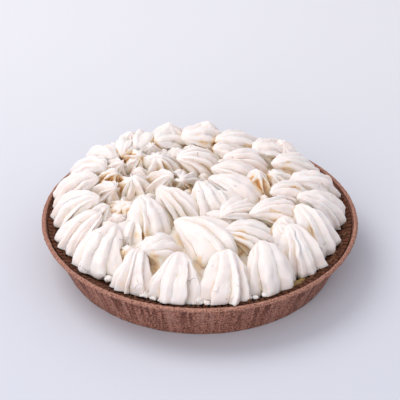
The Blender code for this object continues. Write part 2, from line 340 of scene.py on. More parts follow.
def pulp_board():
    material, tree, shader = material_named("pulp_board")
    place = place_of(tree)
    parts = node(tree, "ShaderNodeSeparateXYZ", {0: place})
    up = parts.outputs[2]
    flat = node(tree, "ShaderNodeCombineXYZ", {0: parts.outputs[0], 1: parts.outputs[1], 2: 0.0})
    across = flat.outputs[0]
    from_axis = vector_node(tree, "LENGTH", across)["Value"]
    # Upright fibre streaks, partly painted shade of the pleats: noise stretched along the height of the
    # wall, darker towards the top
    around = vector_node(tree, "NORMALIZE", across)[0]
    risen = vector_node(tree, "MULTIPLY", place, (0.0, 0.0, 0.07))[0]
    stretched = vector_node(tree, "MULTIPLY_ADD", around, (rim_radius,) * 3, risen)[0]
    streaks = cloud_noise(tree, stretched, 230.0, 4.0)[0]
    hanging = between(tree, up, 4 * MM, rim_height - 8 * MM, 0.35, 1.0)
    fibre_and_pleat_shade_streaks = times(tree, between(tree, streaks, 0.50, 0.58), hanging)
    pale_streaks = between(tree, streaks, 0.46, 0.34)
    flecks, patches = add_mottle(tree, place, 1.25, 10.0)
    flecks = between(tree, flecks, 0.25, 0.75)
    colour = mix(tree, flecks, *board_tones)
    colour = mix(tree, times(tree, pale_streaks, 0.45), colour, pale_fibre)
    fibre_and_shade_tone = mix(tree, flecks, *fibre_and_shade_tones)
    colour = mix(tree, times(tree, fibre_and_pleat_shade_streaks, 0.85), colour, fibre_and_shade_tone)
    colour = mix(tree, times(tree, patches, 0.2), colour, worn_patch)
    # The rolled rim is painted paler, as painted light on the bead's top, with fine ribs
    on_rim = between(tree, up, under_bead - 0.4 * MM, under_bead + 0.5 * MM)
    ribs = add_round_lines(tree, place, rim_ribs, 0.3, 1.2)
    lit_rim_tone = mix(tree, flecks, *lit_rim_tones)
    lit_rim_tone = mix(tree, times(tree, ribs, 0.22), lit_rim_tone, rib_tone)
    colour = mix(tree, on_rim, colour, lit_rim_tone)
    # A painted shadow: a dark line just under the rolled rim
    shadow_foot = between(tree, up, under_bead - 1.4 * MM, under_bead - 0.5 * MM)
    shadow_top = between(tree, up, under_bead + 0.3 * MM, under_bead - 0.3 * MM)
    painted_rim_shadow = times(tree, shadow_foot, shadow_top)
    colour = mix(tree, times(tree, painted_rim_shadow, 0.6), colour, rim_shadow_tone)
    # The inside is darker, partly a stain of butter and heat and partly painted shade, as the inner wall
    # lies in shade, with painted shade as dark lines in its pleats
    mid_wall = math_node(tree, "MULTIPLY_ADD", up, wall_lean, base_radius - 0.75 * board)
    within_wall = math_node(tree, "LESS_THAN", from_axis, mid_wall)
    below_bead = between(tree, up, rim_height - 0.7 * MM, rim_height - 1.6 * MM)
    inner_bead = between(tree, from_axis, bead_centre - 0.5 * MM, bead_centre - 1.3 * MM)
    inner_bead = times(tree, inner_bead, on_rim)
    inside = times(tree, math_node(tree, "MAXIMUM", within_wall, inner_bead), below_bead)
    stain_and_shade = mix(tree, flecks, *stain_and_shade_tones)
    # Painted shade: near-black lines in the pleats of the inside
    pleat_shade_lines = add_round_lines(tree, place, inner_pleats, 0.74, 0.5)
    stain_and_shade = mix(tree, times(tree, pleat_shade_lines, 0.85), stain_and_shade, pleat_shade_tone)
    colour = mix(tree, inside, colour, stain_and_shade)
    roughness = between(tree, flecks, 0.0, 1.0, 0.75, 0.92)
    relief = math_node(tree, "ADD", flecks, times(tree, ribs, on_rim))
    relief = math_node(tree, "SUBTRACT", relief, fibre_and_pleat_shade_streaks)
    set_surface(tree, shader, colour, roughness, relief, 0.3, 0.25 * MM, 0.25)
    return material


baking_mould.data.materials.append(pulp_board())
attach(baking_mould, "root")
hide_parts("baking_mould")

# The pastry crust
# A shortcrust pressed into the mould and baked dark. Only its crumbly top edge shows, in the gap
# between the meringue and the mould's wall, with loose crumbs lying on it.
crust_top = rim_height - 1.6 * MM
gap = 0.3 * MM
crust_side = 12.0 * MM
crust_lip = 6.6 * MM
crust_inset = board + pleat_depth + gap
crust_floor = board + gap
crust_thickness = 4.5 * MM
crust_drop = 2.4 * MM
crust_shoulder = rim_height - 10.0 * MM
crust_columns = 1200
inner_floor = crust_floor + crust_thickness
inner_corner = (wall_radius(inner_floor, crust_inset + crust_side), inner_floor)
inner_shoulder = (wall_radius(crust_shoulder, crust_inset + crust_side), crust_shoulder)
lip_foot = (wall_radius(crust_top, crust_inset + crust_lip), crust_top - crust_drop - 1.0 * MM)
lip_edge = (wall_radius(crust_top, crust_inset + crust_lip - 0.8 * MM), crust_top - crust_drop - 0.2 * MM)
crust_rows = turned_rows([
    (0, inner_floor),
    *line((20 * MM, inner_floor), inner_corner, 3),
    *line(inner_corner, inner_shoulder, 8),
    *line(inner_shoulder, lip_foot, 9),
    *line(lip_foot, lip_edge, 3),
    *line(lip_edge, (wall_radius(crust_top, crust_inset + 0.2 * MM), crust_top - 0.3 * MM), 12),
    *line((wall_radius(crust_top, crust_inset + 0.1 * MM), crust_top - 0.5 * MM),
          (wall_radius(crust_floor, crust_inset + 0.2 * MM), crust_floor), 8),
    (wall_radius(crust_floor, crust_inset + 0.4 * MM), crust_floor),
    (20 * MM, crust_floor),
    (0, crust_floor),
], crust_columns)

# Crags on the lip, and flutes that the mould's pleats have pressed into it: their sizes in mm
crag_height = 0.35
crag_inwards = 0.35
flute_depth = 0.9
near_top = np.clip((crust_rows[..., 2] - crust_top + 6 * MM) / (5 * MM), 0, 1)
crags = 0.5 * wave_noise(crust_rows, 2.4 * MM, 21) + 0.6 * wave_noise(crust_rows, 6 * MM, 22)
crust_rows[..., 2] += near_top * (crag_height * MM * crags - 0.4 * MM).clip(-2.2 * MM, 0.6 * MM)
inwards = 0.5 * wave_noise(crust_rows, 3.1 * MM, 23) + 0.4 * wave_noise(crust_rows, 1.5 * MM, 24)
inwards = near_top * crag_inwards * MM * (np.clip(inwards, -1, 1) + 1)
crust_radius = np.hypot(crust_rows[..., 0], crust_rows[..., 1])
crust_bearing = np.arctan2(crust_rows[..., 1], crust_rows[..., 0])
flutes = 0.5 + 0.5 * np.cos(inner_pleats * crust_bearing)
crust_rows[..., 2] -= near_top * flute_depth * MM * flutes ** 4
crust_scale = np.where(crust_radius > 50 * MM, 1 - inwards / np.maximum(crust_radius, MM), 1)
crust_rows[..., :2] *= crust_scale[..., None]
pastry_crust = add_piece("pastry_crust_edge", closed_mesh("pastry_crust_edge", crust_rows), smooth=60)


def baked_dough(name, dark, light, gold, with_flute_shade):
    material, tree, shader = material_named(name)
    place = place_of(tree)
    flecks, patches = add_mottle(tree, place, 1.0, 7.0)
    colour = mix(tree, flecks, dark, light)
    colour = mix(tree, times(tree, patches, 0.4), colour, gold)
    if with_flute_shade:
        # Painted shade: near-black lines in the flutes of the lip
        lines = add_round_lines(tree, place, inner_pleats, 0.70, 0.3)
        colour = mix(tree, times(tree, lines, 0.92), colour, (0.008, 0.003, 0.002))
    roughness = between(tree, patches, 0.0, 1.0, 0.7, 0.95)
    set_surface(tree, shader, colour, roughness, flecks, 0.6, 0.4 * MM, 0.3)
    return material


crust_tones = ((0.070, 0.019, 0.008), (0.165, 0.053, 0.026), (0.17, 0.056, 0.024))
pastry_crust.data.materials.append(baked_dough("dark_shortcrust", *crust_tones, True))
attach(pastry_crust, "root")
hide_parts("pastry_crust")


def add_ball(soup, detail):
    """Adds a round ball to a mesh that is being made, and gives the ball's points."""
    before = len(soup.verts)
    bmesh.ops.create_icosphere(soup, subdivisions=detail, radius=1.0)
    soup.verts.ensure_lookup_table()
    return soup.verts[before:]


def scattered_crumbs(name, spots, seed):
    """One mesh of crumbs, each a knobbly ball of its own size at (place, radius)."""
    chance = np.random.default_rng(seed)
    whole = bmesh.new()
    for place, size in spots:
        ball = add_ball(whole, 2)
        turn = Matrix.Rotation(chance.uniform(0, 6.28), 3, Vector(chance.normal(size=3)).normalized())
        stretch = Vector(chance.uniform(0.65, 1.25, 3))
        offset = Vector(chance.uniform(-50, 50, 3))
        for vertex in ball:
            knob = 1 + 0.55 * noise.noise(vertex.co * 1.3 + offset)
            knob += 0.3 * noise.noise(vertex.co * 3.1 + offset)
            vertex.co = place + turn @ (vertex.co * knob * stretch) * size
    mesh = bpy.data.meshes.new(name)
    whole.to_mesh(mesh)
    whole.free()
    return add_piece(name, mesh, smooth=50)


lip_outer = wall_radius(crust_top, crust_inset + 1.0 * MM)
lip_inner = wall_radius(crust_top, crust_inset + crust_lip)


def on_the_lip(out, bearing, size):
    """A place on the crust's sloping lip, at a distance from the axis, for a crumb of a size."""
    drop = crust_drop * (lip_outer - out) / (lip_outer - lip_inner) + 0.8 * MM
    return Vector((out * math.cos(bearing), out * math.sin(bearing), crust_top - drop + 0.4 * size))


fine_crumbs = 200
foot_crumbs = 260
large_crumb_bearings = (318, 325, 331, 334, 339, 343, 349, 356, 262, 271, 289, 215)
crumb_chance = np.random.default_rng(31)
crumb_spots = []
for _ in range(fine_crumbs):
    size = crumb_chance.uniform(0.3, 0.7) * MM
    out = crumb_chance.uniform(lip_inner + size, lip_outer)
    crumb_spots.append((on_the_lip(out, crumb_chance.uniform(0, 2 * math.pi), size), size))
# More and larger crumbs lie along the feet of the shells, half of them at the near right
for _ in range(foot_crumbs):
    size = crumb_chance.uniform(0.4, 1.3) * MM
    out = crumb_chance.uniform(lip_inner - 1 * MM, lip_inner + 2.5 * MM)
    near_right = crumb_chance.normal(322, 16)
    elsewhere = crumb_chance.uniform(150, 390)
    bearing = math.radians(crumb_chance.choice((near_right, elsewhere)))
    crumb_spots.append((on_the_lip(out, bearing, size), size))
for bearing in large_crumb_bearings:
    size = crumb_chance.uniform(1.3, 2.0) * MM
    out = lip_inner + crumb_chance.uniform(0.5, 2.0) * MM
    crumb_spots.append((on_the_lip(out, math.radians(bearing + crumb_chance.uniform(-2, 2)), size), size))
crust_crumbs = scattered_crumbs("crust_crumbs", crumb_spots, 32)
crumb_tones = ((0.045, 0.014, 0.007), (0.20, 0.082, 0.040), (0.24, 0.11, 0.05))
crust_crumbs.data.materials.append(baked_dough("crumb_crust", *crumb_tones, False))
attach(crust_crumbs, "root")

# The lemon filling
# A set lemon curd poured into the crust. Its golden edge shows here and there under the meringue,
# where the gap is widest.
filling_top = rim_height - 10.0 * MM
filling_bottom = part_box("lemon_filling")[0].z
filling_level = filling_top - 0.3 * MM
filling_inset = crust_inset + crust_side + gap + 0.35 * MM
filling_columns = 480
filling_rows = turned_rows([
    (0, filling_level),
    *line((30 * MM, filling_level), (wall_radius(filling_top, filling_inset + 3 * MM), filling_level), 8),
    *arc((wall_radius(filling_top, filling_inset + 2.2 * MM), filling_top - 2.2 * MM), 2.0 * MM, 90, 0, 7),
    *line((wall_radius(filling_top - 3 * MM, filling_inset + 0.1 * MM), filling_top - 3 * MM),
          (wall_radius(filling_bottom, filling_inset + 0.1 * MM), filling_bottom), 6),
    (wall_radius(filling_bottom, filling_inset + 0.3 * MM), filling_bottom),
    (0, filling_bottom),
], filling_columns)
surface = np.clip((filling_rows[..., 2] - filling_top + 2.5 * MM) / (2 * MM), 0, 1)
filling_rows[..., 2] += surface * 0.16 * MM * (wave_noise(filling_rows, 9 * MM, 41) - 1)
lemon_filling = add_piece("lemon_filling_curd", closed_mesh("lemon_filling_curd", filling_rows))

# Where it has boiled up over the crust's lip and set, at the near right: the bearing, the distance
# from the middle and the length, width and height in mm
spills = [(311, 112.0, 5.5, 2.6, 1.7), (314.5, 111.0, 3.4, 2.2, 1.4), (308, 111.2, 3.0, 2.0, 1.3)]
soup = bmesh.new()
soup.from_mesh(lemon_filling.data)
for i, (bearing, distance, length, width, height) in enumerate(spills):
    turn = math.radians(bearing)
    away = Vector((math.cos(turn), math.sin(turn), 0))
    along = Vector((-math.sin(turn), math.cos(turn), 0))
    spot = on_the_lip(distance * MM, turn, height * MM) + Vector((0, 0, 0.4 * height * MM))
    for vertex in add_ball(soup, 3):
        knob = 1 + 0.35 * noise.noise(vertex.co * 1.4 + Vector((i * 9, 0, 0)))
        x, y, z = vertex.co * knob
        vertex.co = spot + (along * x * length + away * y * width + Vector((0, 0, z * height))) * MM
soup.to_mesh(lemon_filling.data)
soup.free()
lemon_filling.data.shade_smooth()


def lit_through(shader, share, depth, tint):
    """Lets light into the surface: how much of it, how deep, and how deep for each colour."""
    shader.inputs["Subsurface Weight"].default_value = share
    shader.inputs["Subsurface Scale"].default_value = depth
    shader.inputs["Subsurface Radius"].default_value = tint


curd_tones = ((0.24, 0.145, 0.035), (0.46, 0.31, 0.09))
curd_fleck = (0.15, 0.075, 0.02)


def lemon_curd():
    material, tree, shader = material_named("lemon_curd")
    flecks, patches = add_mottle(tree, place_of(tree), 2.0, 14.0)
    colour = mix(tree, patches, *curd_tones)
    colour = mix(tree, times(tree, flecks, 0.45), colour, curd_fleck)
    roughness = between(tree, flecks, 0.0, 1.0, 0.35, 0.55)
    set_surface(tree, shader, colour, roughness, patches, 0.25, 0.6 * MM, 0.5)
    lit_through(shader, 0.2, 3 * MM, (1.0, 0.6, 0.15))
    return material


lemon_filling.data.materials.append(lemon_curd())
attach(lemon_filling, "root")
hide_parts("lemon_filling")

# The meringue
# Stiff egg white and sugar, spread as a low bed on the filling and piped over it with an open star
# nozzle, as a ring of fat shells and a field of swirls. Baking makes one crisp white body of it.
piping_level = rim_height - 1.8 * MM
bed_radius = 103.0 * MM
bed_edge = filling_top + gap + 4.0 * MM
bed_shoulder = (84.0 * MM, piping_level + 7.0 * MM)
bed_middle = piping_level + 12.0 * MM
bed_short = 7.0 * MM
bed_short_bearing = math.radians(328)
underside = 13.0 * MM

# Rim shells: where the fat head sits and where the tail ends, each as a bearing in degrees and a
# distance from the middle in mm, then the width in mm and how far the head is lifted in mm
rim_shells = [
    (241, 103, 238, 83, 29, 0), (260, 102, 258, 76, 39, 0), (281, 102, 283, 76, 39, 0),
    (301, 101, 306, 78, 39, 0), (321, 98, 330, 79, 38, 0), (340, 98, 350, 76, 36, 0),
    (3, 101, 359, 76, 36, 1), (21, 102, 18, 75, 36, 2), (37, 103, 40, 76, 34, 4),
    (53, 104, 58, 80, 36, 3), (67, 104, 82, 86, 36, 1), (83, 104, 100, 88, 37, 0),
    (99, 104, 116, 88, 37, 1), (113, 105, 128, 86, 35, 5), (127, 105, 138, 86, 33, 9),
    (140, 106, 143, 86, 31, 11), (153, 106, 153, 86, 32, 9), (167, 106, 164, 84, 34, 7),
    (181, 102, 184, 79, 37, 0), (198, 102, 198, 80, 36, 0), (220, 100, 212, 74, 42, 0),
]
shell_tail_top = 19.5 * MM

# Swirls on top: the head's place and the tail's place in mm, the width in mm, the tail's height
# above the piping level in mm, the number of folds, and how far they are sharp ridges (1) and not
# soft petals (0)
top_swirls = [
    (14, -62, -20, -38, 44, 22, 9, 0.2), (-27, -62, -43, -76, 33, 20, 8, 0.1),
    (46, -46, 17, -54, 35, 23, 11, 0.3), (38, -14, 16, -36, 34, 24, 12, 0.4),
    (68, -13, 38, -29, 33, 23, 11, 0.2), (77, 11, 55, 2, 30, 23, 10, 0.0),
    (63, 32, 57, 26, 31, 24, 9, 0.8), (46, 21, 47, 22, 25, 30, 8, 1.0),
    (42, 56, 18, 49, 33, 24, 10, 0.1), (34, 38, 8, 33, 32, 25, 11, 0.2),
    (4, 56, -20, 51, 33, 24, 11, 0.2), (-33, 53, -35, 50, 32, 26, 8, 1.0),
    (-31, 30, -22, 20, 31, 25, 10, 0.7), (-11, 31, -15, 14, 28, 25, 9, 0.8),
    (-54, 26, -55, 25, 35, 22, 9, 1.0), (-60, -6, -61, -8, 35, 17, 9, 1.0),
    (-36, -33, -47, -7, 36, 25, 11, 0.4), (-12, -16, -33, 6, 36, 25, 12, 0.6),
    (8, -11, -1, 13, 35, 26, 10, 0.3), (38, 11, 6, 18, 36, 25, 11, 0.4),
    (-77, 14, -67, 9, 29, 20, 9, 0.6), (-73, 37, -66, 32, 27, 21, 8, 0.8),
    (-52, 62, -48, 55, 31, 23, 8, 1.0), (-70, 51, -62, 45, 28, 22, 8, 0.9),
    (66, -48, 58, -36, 28, 18, 9, 0.2), (21, 78, 10, 70, 29, 20, 9, 0.3),
    (7, 100, 6, 99, 25, 28, 8, 0.5), (-25, 98, -25, 97, 25, 28, 8, 0.5),
    (-58, 86, -57, 85, 25, 27, 7, 1.0), (70, 78, 69, 77, 24, 23, 8, 0.5),
    (-78, -14, -71, -12, 29, 16, 9, 0.7), (-54, -42, -50, -30, 32, 16, 9, 0.6),
    (1, -62, 4, -56, 30, 16, 9, 0.4), (66, -34, 60, -28, 29, 18, 9, 0.3),
    (-34, -58, -30, -50, 29, 16, 9, 0.4), (-44, 78, -40, 70, 26, 22, 8, 0.9),
    (22, -2, 14, 4, 26, 24, 9, 0.6), (16, -34, 6, -28, 28, 22, 10, 0.5),
]


def unit(vectors):
    return vectors / np.maximum(np.linalg.norm(vectors, axis=-1, keepdims=True), 1e-12)


def ends_drawn_in(rows):
    """The rows with the first and the last one each drawn together to a point."""
    rows[0] = rows[0].mean(axis=0)
    rows[-1] = rows[-1].mean(axis=0)
    return rows


# The outline from the foot (0) to the tail (1): where it is widest, how much it tapers from there,
# how late it closes at the tail and how blunt the tail is. Then the section's half width as a share
# of the width, and how much broader across and lower upwards it is than round.
shell_outline = (0.20, 0.53, 6.0, 0.5)
swirl_outline = (0.28, 0.0, 1.3, 0.72)
half_width = 0.54
broader = 1.1
lower = 0.92


def piped_swirl(name, head, tail, width, lobes, sharp, sway, sweep, seed, shell):
    """One piped swirl: a lobed bulb that rises from under its head and leans over to its tail.

    Its section is a ring of petals, uneven from one to the next and all leaning to one side, that
    turns slowly on the way from under the head, over it and to the tail, with the fine marks that
    the nozzle leaves along it. A rim shell opens like a tent to its foot, where the petals end at
    uneven heights.
    """
    chance = np.random.default_rng(seed)
    rings, columns_per_lobe = (44, 12) if shell else (36, 10)
    widest, taper, fall, blunt = shell_outline if shell else swirl_outline

    def each_fold(least, most):
        return np.repeat(chance.uniform(least, most, lobes), columns_per_lobe)

    head, tail = np.array(head), np.array(tail)
    under = head - np.array((0, 0, underside))
    lean = np.array((*(tail - head)[:2], 0.0))
    across = unit(np.array((-lean[1], lean[0], 0.0)))
    over = head + 0.06 * lean + np.array((0, 0, 0.7 * (tail[2] - head[2]))) + across * sway
    u = (0.5 - 0.5 * np.cos(np.pi * np.linspace(0, 1, rings + 1)))[:, None]
    middle = under * (1 - u) ** 2 + over * 2 * u * (1 - u) + tail * u ** 2
    heading = unit((over - under) * (1 - u) + (tail - over) * u)
    side = unit(across - heading * (heading @ across)[:, None])
    up = np.cross(heading, side)
    u = u[:, 0]
    beyond = np.clip((u - widest) / (1 - widest), 0, 1)
    taper *= chance.uniform(0.9, 1.3)
    size = np.sin(np.pi / 2 * np.clip(u / widest, 0, 1)) ** 0.55
    size *= (1 - taper * beyond) * (1 - beyond ** fall) ** blunt * (half_width * width)

    # The folds: each of its own width and height, with creases of uneven depth between them
    widths = chance.uniform(0.45, 1.55, lobes)
    edges = 2 * math.pi * np.append(0, np.cumsum(widths)) / widths.sum()
    part = np.linspace(0, 1, columns_per_lobe, endpoint=False)
    turns = np.concatenate([edges[k] + (edges[k + 1] - edges[k]) * part for k in range(lobes)])
    crest = 0.5 + (1 - sharp) * 0.23 * chance.choice((-1, 1))
    slope = np.where(part < crest, part / crest, (1 - part) / (1 - crest))
    petal = np.tile((1 - sharp) * np.sin(np.pi / 2 * slope) ** 0.85 + sharp * slope ** 2.0, lobes)
    creases = chance.uniform(0.35 + 0.4 * sharp, 1.25, lobes)
    to_next = np.roll(creases, -1) - creases
    creases = np.concatenate([creases[k] + to_next[k] * part for k in range(lobes)])
    creases *= (np.repeat(widths, columns_per_lobe) ** 0.5) * (1 - sharp) + sharp
    tallness = each_fold(-0.07, 0.09)
    wander = each_fold(0, 2 * np.pi)
    depth = 0.44 - 0.28 * u if shell else 0.30 + 0.27 * sharp - 0.14 * u
    depth = depth * np.sin(np.pi * u).clip(0) ** 0.3
    relief = -depth[:, None] * creases * (1 - petal) + tallness * petal
    relief = relief * (1 + 0.25 * np.sin(2 * np.pi * 0.8 * u[:, None] + wander))
    if shell:
        toes = each_fold(-0.03, 0.20) * petal ** 2
        relief = relief + toes * np.exp(-((u[:, None] - 0.11) / 0.045) ** 2)

    # The wobble of the hand and the marks of the nozzle, then the petals round the leaning middle
    wobble = 1 + 0.04 * np.sin(2 * np.pi * (1.3 * u + chance.uniform()))
    section = (size * wobble)[:, None] * (1 + relief)
    marks = sum(np.sin(count * turns + chance.uniform(0, 2 * np.pi)) for count in (17, 25, 33))
    section *= 1 + 0.011 * marks * np.sin(np.pi * u)[:, None]
    bend = 0.07 * np.sin(2 * np.pi * 0.7 * u[:, None] + wander) * np.sin(np.pi * u)[:, None]
    angle = turns + (sweep * u)[:, None] + bend
    sideways = broader * side[:, None, :] * np.cos(angle)[..., None]
    upwards = lower * up[:, None, :] * np.sin(angle)[..., None]
    rows = middle[:, None, :] + (sideways + upwards) * section[..., None]
    curl = each_fold(-1.6, 1.6) * petal * MM
    rows[..., 2] += curl * ((1 - u) ** 3)[:, None]
    for height, length, seeds in ((0.5, 12, 3), (0.22, 4, 5)):
        waves = [wave_noise(rows, length * MM, seed * seeds + k) for k in range(3)]
        rows += height * MM * np.stack(waves, axis=2)
    return bpy.data.objects.new(name, closed_mesh(name, ends_drawn_in(rows)))


def polar(bearing_degrees, distance, height):
    turn = math.radians(bearing_degrees)
    return distance * MM * math.cos(turn), distance * MM * math.sin(turn), height


swirls = bpy.data.collections.new("swirls")
bpy.context.scene.collection.children.link(swirls)
pipe_chance = np.random.default_rng(11)


def pipe(name, head, tail, width, lobes, sharp, sway, seed, shell=False):
    """Pipes one swirl, its folds turned a little by chance, and puts it with the others."""
    sweep = pipe_chance.uniform(-0.5, 0.5)
    swirls.objects.link(piped_swirl(name, head, tail, width * MM, lobes, sharp, sway, sweep, seed, shell))


# The shells on the near side, between two bearings in degrees, have the softest folds. A shell or a
# swirl leans to either side by chance, by the most sway at most, in mm.
near_side = (225, 290)
near_sharp = 0.25
other_sharp = 0.4
shell_lobes = 9
most_sway = 4
for i, (bearing_head, distance, bearing_tail, tail_distance, width, lift) in enumerate(rim_shells):
    head = polar(bearing_head, distance, piping_level + (0.5 + lift) * MM)
    tail_rise = 0.2 * lift + pipe_chance.uniform(-1.5, 1.5)
    tail = polar(bearing_tail, tail_distance, piping_level + shell_tail_top + tail_rise * MM)
    sharp = near_sharp if near_side[0] <= bearing_head <= near_side[1] else other_sharp
    sway = pipe_chance.uniform(-most_sway, most_sway) * MM
    pipe(f"shell_{i:02d}", head, tail, width, shell_lobes, sharp, sway, 100 + i, shell=True)

# The swirls stand over the bed, by this much above the piping level in mm
swirl_foot = 9
for i, (x, y, tail_x, tail_y, width, top, lobes, sharp) in enumerate(top_swirls):
    head = (x * MM, y * MM, piping_level + swirl_foot * MM)
    tail = (tail_x * MM, tail_y * MM, piping_level + top * MM)
    sway = pipe_chance.uniform(-most_sway, most_sway) * MM
    pipe(f"swirl_{i:02d}", head, tail, width, lobes, sharp, sway, 200 + i)

# Small dabs piped last into the gaps between the swirls: the place in mm and the width in mm. Those
# beyond the edge of the field stand lower, on the fall of the bed.
gap_dabs = [
    (-19, 71, 25), (-40, 4, 20), (-64, -25, 20), (-55, -62, 19), (-7, 78, 18), (-4, -29, 19), (-9, 10, 18),
    (-21, 11, 16), (-49, 44, 18), (7, 26, 17), (-70, -34, 17), (5, 75, 16), (1, 17, 15), (4, 36, 15),
    (-31, 10, 15), (-13, -32, 15), (-30, 73, 15), (-17, 44, 15), (52, 6, 14), (17, 61, 14), (-25, 61, 14),
]
dab_lobes = 7
dab_sharp = 0.5
field_edge = 80
foot_beyond = 5
for i, (x, y, width) in enumerate(gap_dabs):
    lean_way = pipe_chance.uniform(0, 2 * math.pi)
    foot = piping_level + (swirl_foot if math.hypot(x, y) < field_edge else foot_beyond) * MM
    head = (x * MM, y * MM, foot)
    tail_x, tail_y = x + 3 * math.cos(lean_way), y + 3 * math.sin(lean_way)
    tail = (tail_x * MM, tail_y * MM, foot + (4 + 0.28 * width) * MM)
    pipe(f"dab_{i:02d}", head, tail, width, dab_lobes, dab_sharp, 0, 300 + i)

# Small lumps that were pressed out under the feet of the shells on the near side: the bearing, the
# distance from the middle and the size in mm
foot_lumps = [
    (230, 107, 3.2), (248, 109, 3.4), (252, 111, 2.4), (255, 112, 1.8), (268, 111, 2.2),
    (270, 109, 3.8), (273, 112, 2.6), (276, 113, 1.8), (289, 110, 3.2), (292, 112, 2.2),
    (296, 112, 2.6), (205, 108, 2.8), (261, 114, 1.9), (284, 114, 2.1),
]
for i, (bearing, distance, size) in enumerate(foot_lumps):
    half_turn = np.linspace(0, math.pi, 11)
    rows = turned_rows([(size * MM * math.sin(t), size * MM * (0.7 * math.cos(t))) for t in half_turn], 16)
    rows *= (1 + 0.22 * wave_noise(rows, 3 * MM, 400 + i))[..., None]
    rows = ends_drawn_in(rows)
    rows += polar(bearing, distance, piping_level - 1.6 * MM)
    swirls.objects.link(bpy.data.objects.new(f"lump_{i:02d}", closed_mesh(f"lump_{i:02d}", rows)))

# The bed, which stops a little short at the near right, where the filling shows
bed_floor = filling_top + gap
bed_rows = turned_rows([
    (0, bed_middle),
    *line((20 * MM, bed_middle - 0.4 * MM), bed_shoulder, 8),
    *line(bed_shoulder, (bed_radius, bed_edge), 8),
    *line((bed_radius, bed_edge), (bed_radius, bed_floor), 2),
    (bed_radius, bed_floor),
    (0, bed_floor),
], 180)
bed_bearing = np.arctan2(bed_rows[..., 1], bed_rows[..., 0]) - bed_short_bearing
bed_out = np.hypot(bed_rows[..., 0], bed_rows[..., 1])
bed_less = np.where(bed_out > 85 * MM, bed_short * np.cos(bed_bearing).clip(0) ** 4, 0)
bed_rows[..., :2] *= (1 - bed_less / np.maximum(bed_out, MM))[..., None]
bed_waves = 1.1 * MM * wave_noise(bed_rows, 12 * MM, 51)
bed_rows[..., 2] += np.where(bed_rows[..., 2] > bed_floor + MM, bed_waves, 0)
meringue = add_piece("meringue_swirls", closed_mesh("meringue_swirls", bed_rows))


def reshape_with(thing, operation, **others):
    """Joins other solids to a piece, or keeps only the part of it that lies in another one."""
    step = thing.modifiers.new("step", "BOOLEAN")
    step.operation = operation
    step.solver = "MANIFOLD"
    for key, value in others.items():
        setattr(step, key, value)
    bpy.context.view_layer.update()
    shown = thing.evaluated_get(bpy.context.evaluated_depsgraph_get())
    mesh = bpy.data.meshes.new_from_object(shown)
    thing.modifiers.clear()
    thing.data = mesh


reshape_with(meringue, "UNION", operand_type="COLLECTION", collection=swirls)
for thing in list(swirls.objects):
    bpy.data.objects.remove(thing)
bpy.data.collections.remove(swirls)

# The room that the mould's rim, the crust and the filling leave to the meringue
clear_of_crust = crust_top + gap
clear_of_rim = bead_centre - bead_radius - gap
room_rows = turned_rows([
    (0, rim_height + 60 * MM),
    (rim_radius - 1 * MM, rim_height + 60 * MM),
    (rim_radius - 1 * MM, rim_height + 2 * MM),
    (clear_of_rim, rim_height - 1 * MM),
    (clear_of_rim - 1 * MM, clear_of_crust),
    (wall_radius(clear_of_crust, crust_inset + 2 * MM), clear_of_crust),
    (wall_radius(crust_top, crust_inset + crust_lip + gap), clear_of_crust - crust_drop),
    (wall_radius(bed_floor, filling_inset), bed_floor),
    (0, bed_floor),
], 180)
room = bpy.data.objects.new("room", closed_mesh("room", room_rows))
bpy.context.scene.collection.objects.link(room)
reshape_with(meringue, "INTERSECT", object=room)
bpy.data.objects.remove(room)


def smooth_step(low, high, values):
    t = np.clip((values - low) / (high - low), 0, 1)
    return t * t * (3 - 2 * t)


def values_of(items, name, each, kind=np.float64):
    """A value of every item of the mesh, as an array of rows."""
    values = np.empty(len(items) * each, dtype=kind)
    items.foreach_get(name, values)
    return values.reshape(-1, each)


# How closed in each point is: the meringue's height on a grid, seen from above, and then for each
# point how high what stands round it rises, in sixteen directions
cell = 1.2 * MM
half_grid = 108
high_above = 0.2
directions = 16
seen = BVHTree.FromObject(meringue, bpy.context.evaluated_depsgraph_get())
tops = np.full((2 * half_grid + 1, 2 * half_grid + 1), bed_floor)
for i in range(2 * half_grid + 1):
    for j in range(2 * half_grid + 1):
        start = Vector(((i - half_grid) * cell, (j - half_grid) * cell, high_above))
        hit = seen.ray_cast(start, Vector((0, 0, -1)))[0]
        if hit:
            tops[i, j] = hit.z
points = values_of(meringue.data.vertices, "co", 3)


def top_at(x, y):
    i = np.clip((x / cell).round().astype(int) + half_grid, 0, 2 * half_grid)
    j = np.clip((y / cell).round().astype(int) + half_grid, 0, 2 * half_grid)
    return tops[i, j]


shelter = np.zeros(len(points))
for turn in np.linspace(0, 2 * math.pi, directions, endpoint=False):
    steepest = np.zeros(len(points))
    for away in np.arange(2, 15, 1.5) * MM:
        there = top_at(points[:, 0] + away * math.cos(turn), points[:, 1] + away * math.sin(turn))
        steepest = np.maximum(steepest, (there - points[:, 2]) / away)
    shelter += np.arctan(steepest) / (0.5 * math.pi * directions)
out = np.hypot(points[:, 0], points[:, 1])
inside_ring = 1 - smooth_step(92 * MM, 104 * MM, out)

# The creases: where a point lies lower than the mean of the points that it is joined to
ends = values_of(meringue.data.edges, "vertices", 2, np.int32)
facing = values_of(meringue.data.vertices, "normal", 3)
joined_to = np.maximum(np.bincount(ends.ravel(), minlength=len(points)), 1)


def mean_at_points(for_first, for_second):
    """The mean at each point of what its edges give it, as their first or their second end."""
    total = np.bincount(ends[:, 0], for_first, len(points))
    return (total + np.bincount(ends[:, 1], for_second, len(points))) / joined_to


def mean_of_neighbours(values):
    return mean_at_points(values[ends[:, 1]], values[ends[:, 0]])


def mean_place(places):
    return np.stack([mean_of_neighbours(places[:, k]) for k in range(3)], axis=1)


